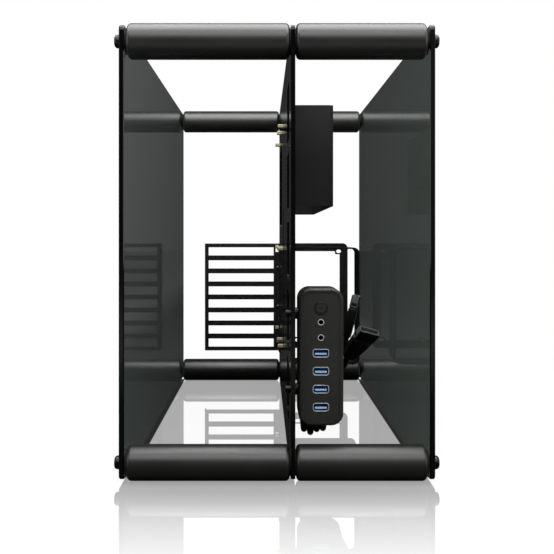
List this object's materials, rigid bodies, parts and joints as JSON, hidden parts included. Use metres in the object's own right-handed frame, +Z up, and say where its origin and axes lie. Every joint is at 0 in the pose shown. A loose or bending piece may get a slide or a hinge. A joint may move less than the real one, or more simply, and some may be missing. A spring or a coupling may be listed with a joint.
{
  "type": "open-frame computer case",
  "caption": "Open two-chamber computer case: tinted glass sides and a middle plate on round spacer tubes, with expansion bracket, drive cage, supply frame and front port module.",
  "frame": {"origin": "on the floor, under the middle of the case", "axes": "+X to the right of someone facing the front, +Y to the rear, +Z up"},
  "size_m": [0.2974, 0.585, 0.419],
  "materials": {
    "tinted_glass": "tinted, polished",
    "black_anodised": "satin black",
    "plain_aluminium": "turned",
    "black_sheet": "satin black",
    "black_steel": "black",
    "black_rubber": "matte",
    "brass": "turned",
    "bright_steel": "plated",
    "blue_plastic": "gloss",
    "jack_plastic": "matte",
    "module_plastic": "fine matte",
    "button_plastic": "satin",
    "black_plastic": "matte",
    "circuit_board": "lacquered",
    "plug_plastic": "moulded",
    "cable_sheath": "smooth"
  },
  "bodies": {
    "case": {"board_standoffs": "brass", "cable_grommets": "black_rubber", "cable_hank": "cable_sheath", "cable_tie": "black_plastic", "drive_cage": "black_sheet", "drive_cage_screws": "black_steel", "left_front_bottom_tube": "black_anodised", "left_front_top_tube": "black_anodised", "left_glass_gaskets": "black_rubber", "left_glass_panel": "tinted_glass", "left_glass_screws": "black_steel", "left_glass_washers": "black_steel", "left_rear_bottom_tube": "black_anodised", "left_rear_top_tube": "black_anodised", "left_tube_plugs": "plain_aluminium", "lower_audio_jack": "jack_plastic", "mid_plate": "black_anodised", "plate_gaskets": "black_rubber", "plate_studs": "black_steel", "port_circuit_board": "circuit_board", "port_face_plate": "module_plastic", "port_left_shell": "module_plastic", "port_module_screws": "black_steel", "port_right_shell": "module_plastic", "power_switch": "black_plastic", "right_front_bottom_tube": "black_anodised", "right_front_top_tube": "black_anodised", "right_glass_gaskets": "black_rubber", "right_glass_panel": "tinted_glass", "right_glass_screws": "black_steel", "right_glass_washers": "black_steel", "right_rear_bottom_tube": "black_anodised", "right_rear_top_tube": "black_anodised", "right_tube_plugs": "plain_aluminium", "slot_bracket": "black_sheet", "slot_bracket_screws": "black_steel", "supply_frame": "black_sheet", "supply_frame_screws": "black_steel", "supply_strap": "black_sheet", "supply_strap_screws": "black_steel", "upper_audio_jack": "jack_plastic", "usb_cable_a_lead": "cable_sheath", "usb_cable_a_tail": "cable_sheath", "usb_cable_b_lead": "cable_sheath", "usb_cable_b_tail": "cable_sheath", "usb_plug_a": "plug_plastic", "usb_plug_b": "plug_plastic", "usb_shell_1": "bright_steel", "usb_shell_2": "bright_steel", "usb_shell_3": "bright_steel", "usb_shell_4": "bright_steel", "usb_tongue_1": "blue_plastic", "usb_tongue_2": "blue_plastic", "usb_tongue_3": "blue_plastic", "usb_tongue_4": "blue_plastic"},
    "power_button": {"power_button": "button_plastic", "switch_plunger": "black_plastic"}
  },
  "joints": [
    {"name": "power_button_press", "type": "slide", "parent": "case", "child": "power_button", "axis": [0, 1, 0], "range_m": [0, 0.001], "stiffness_N_per_m": 1500}
  ]
}
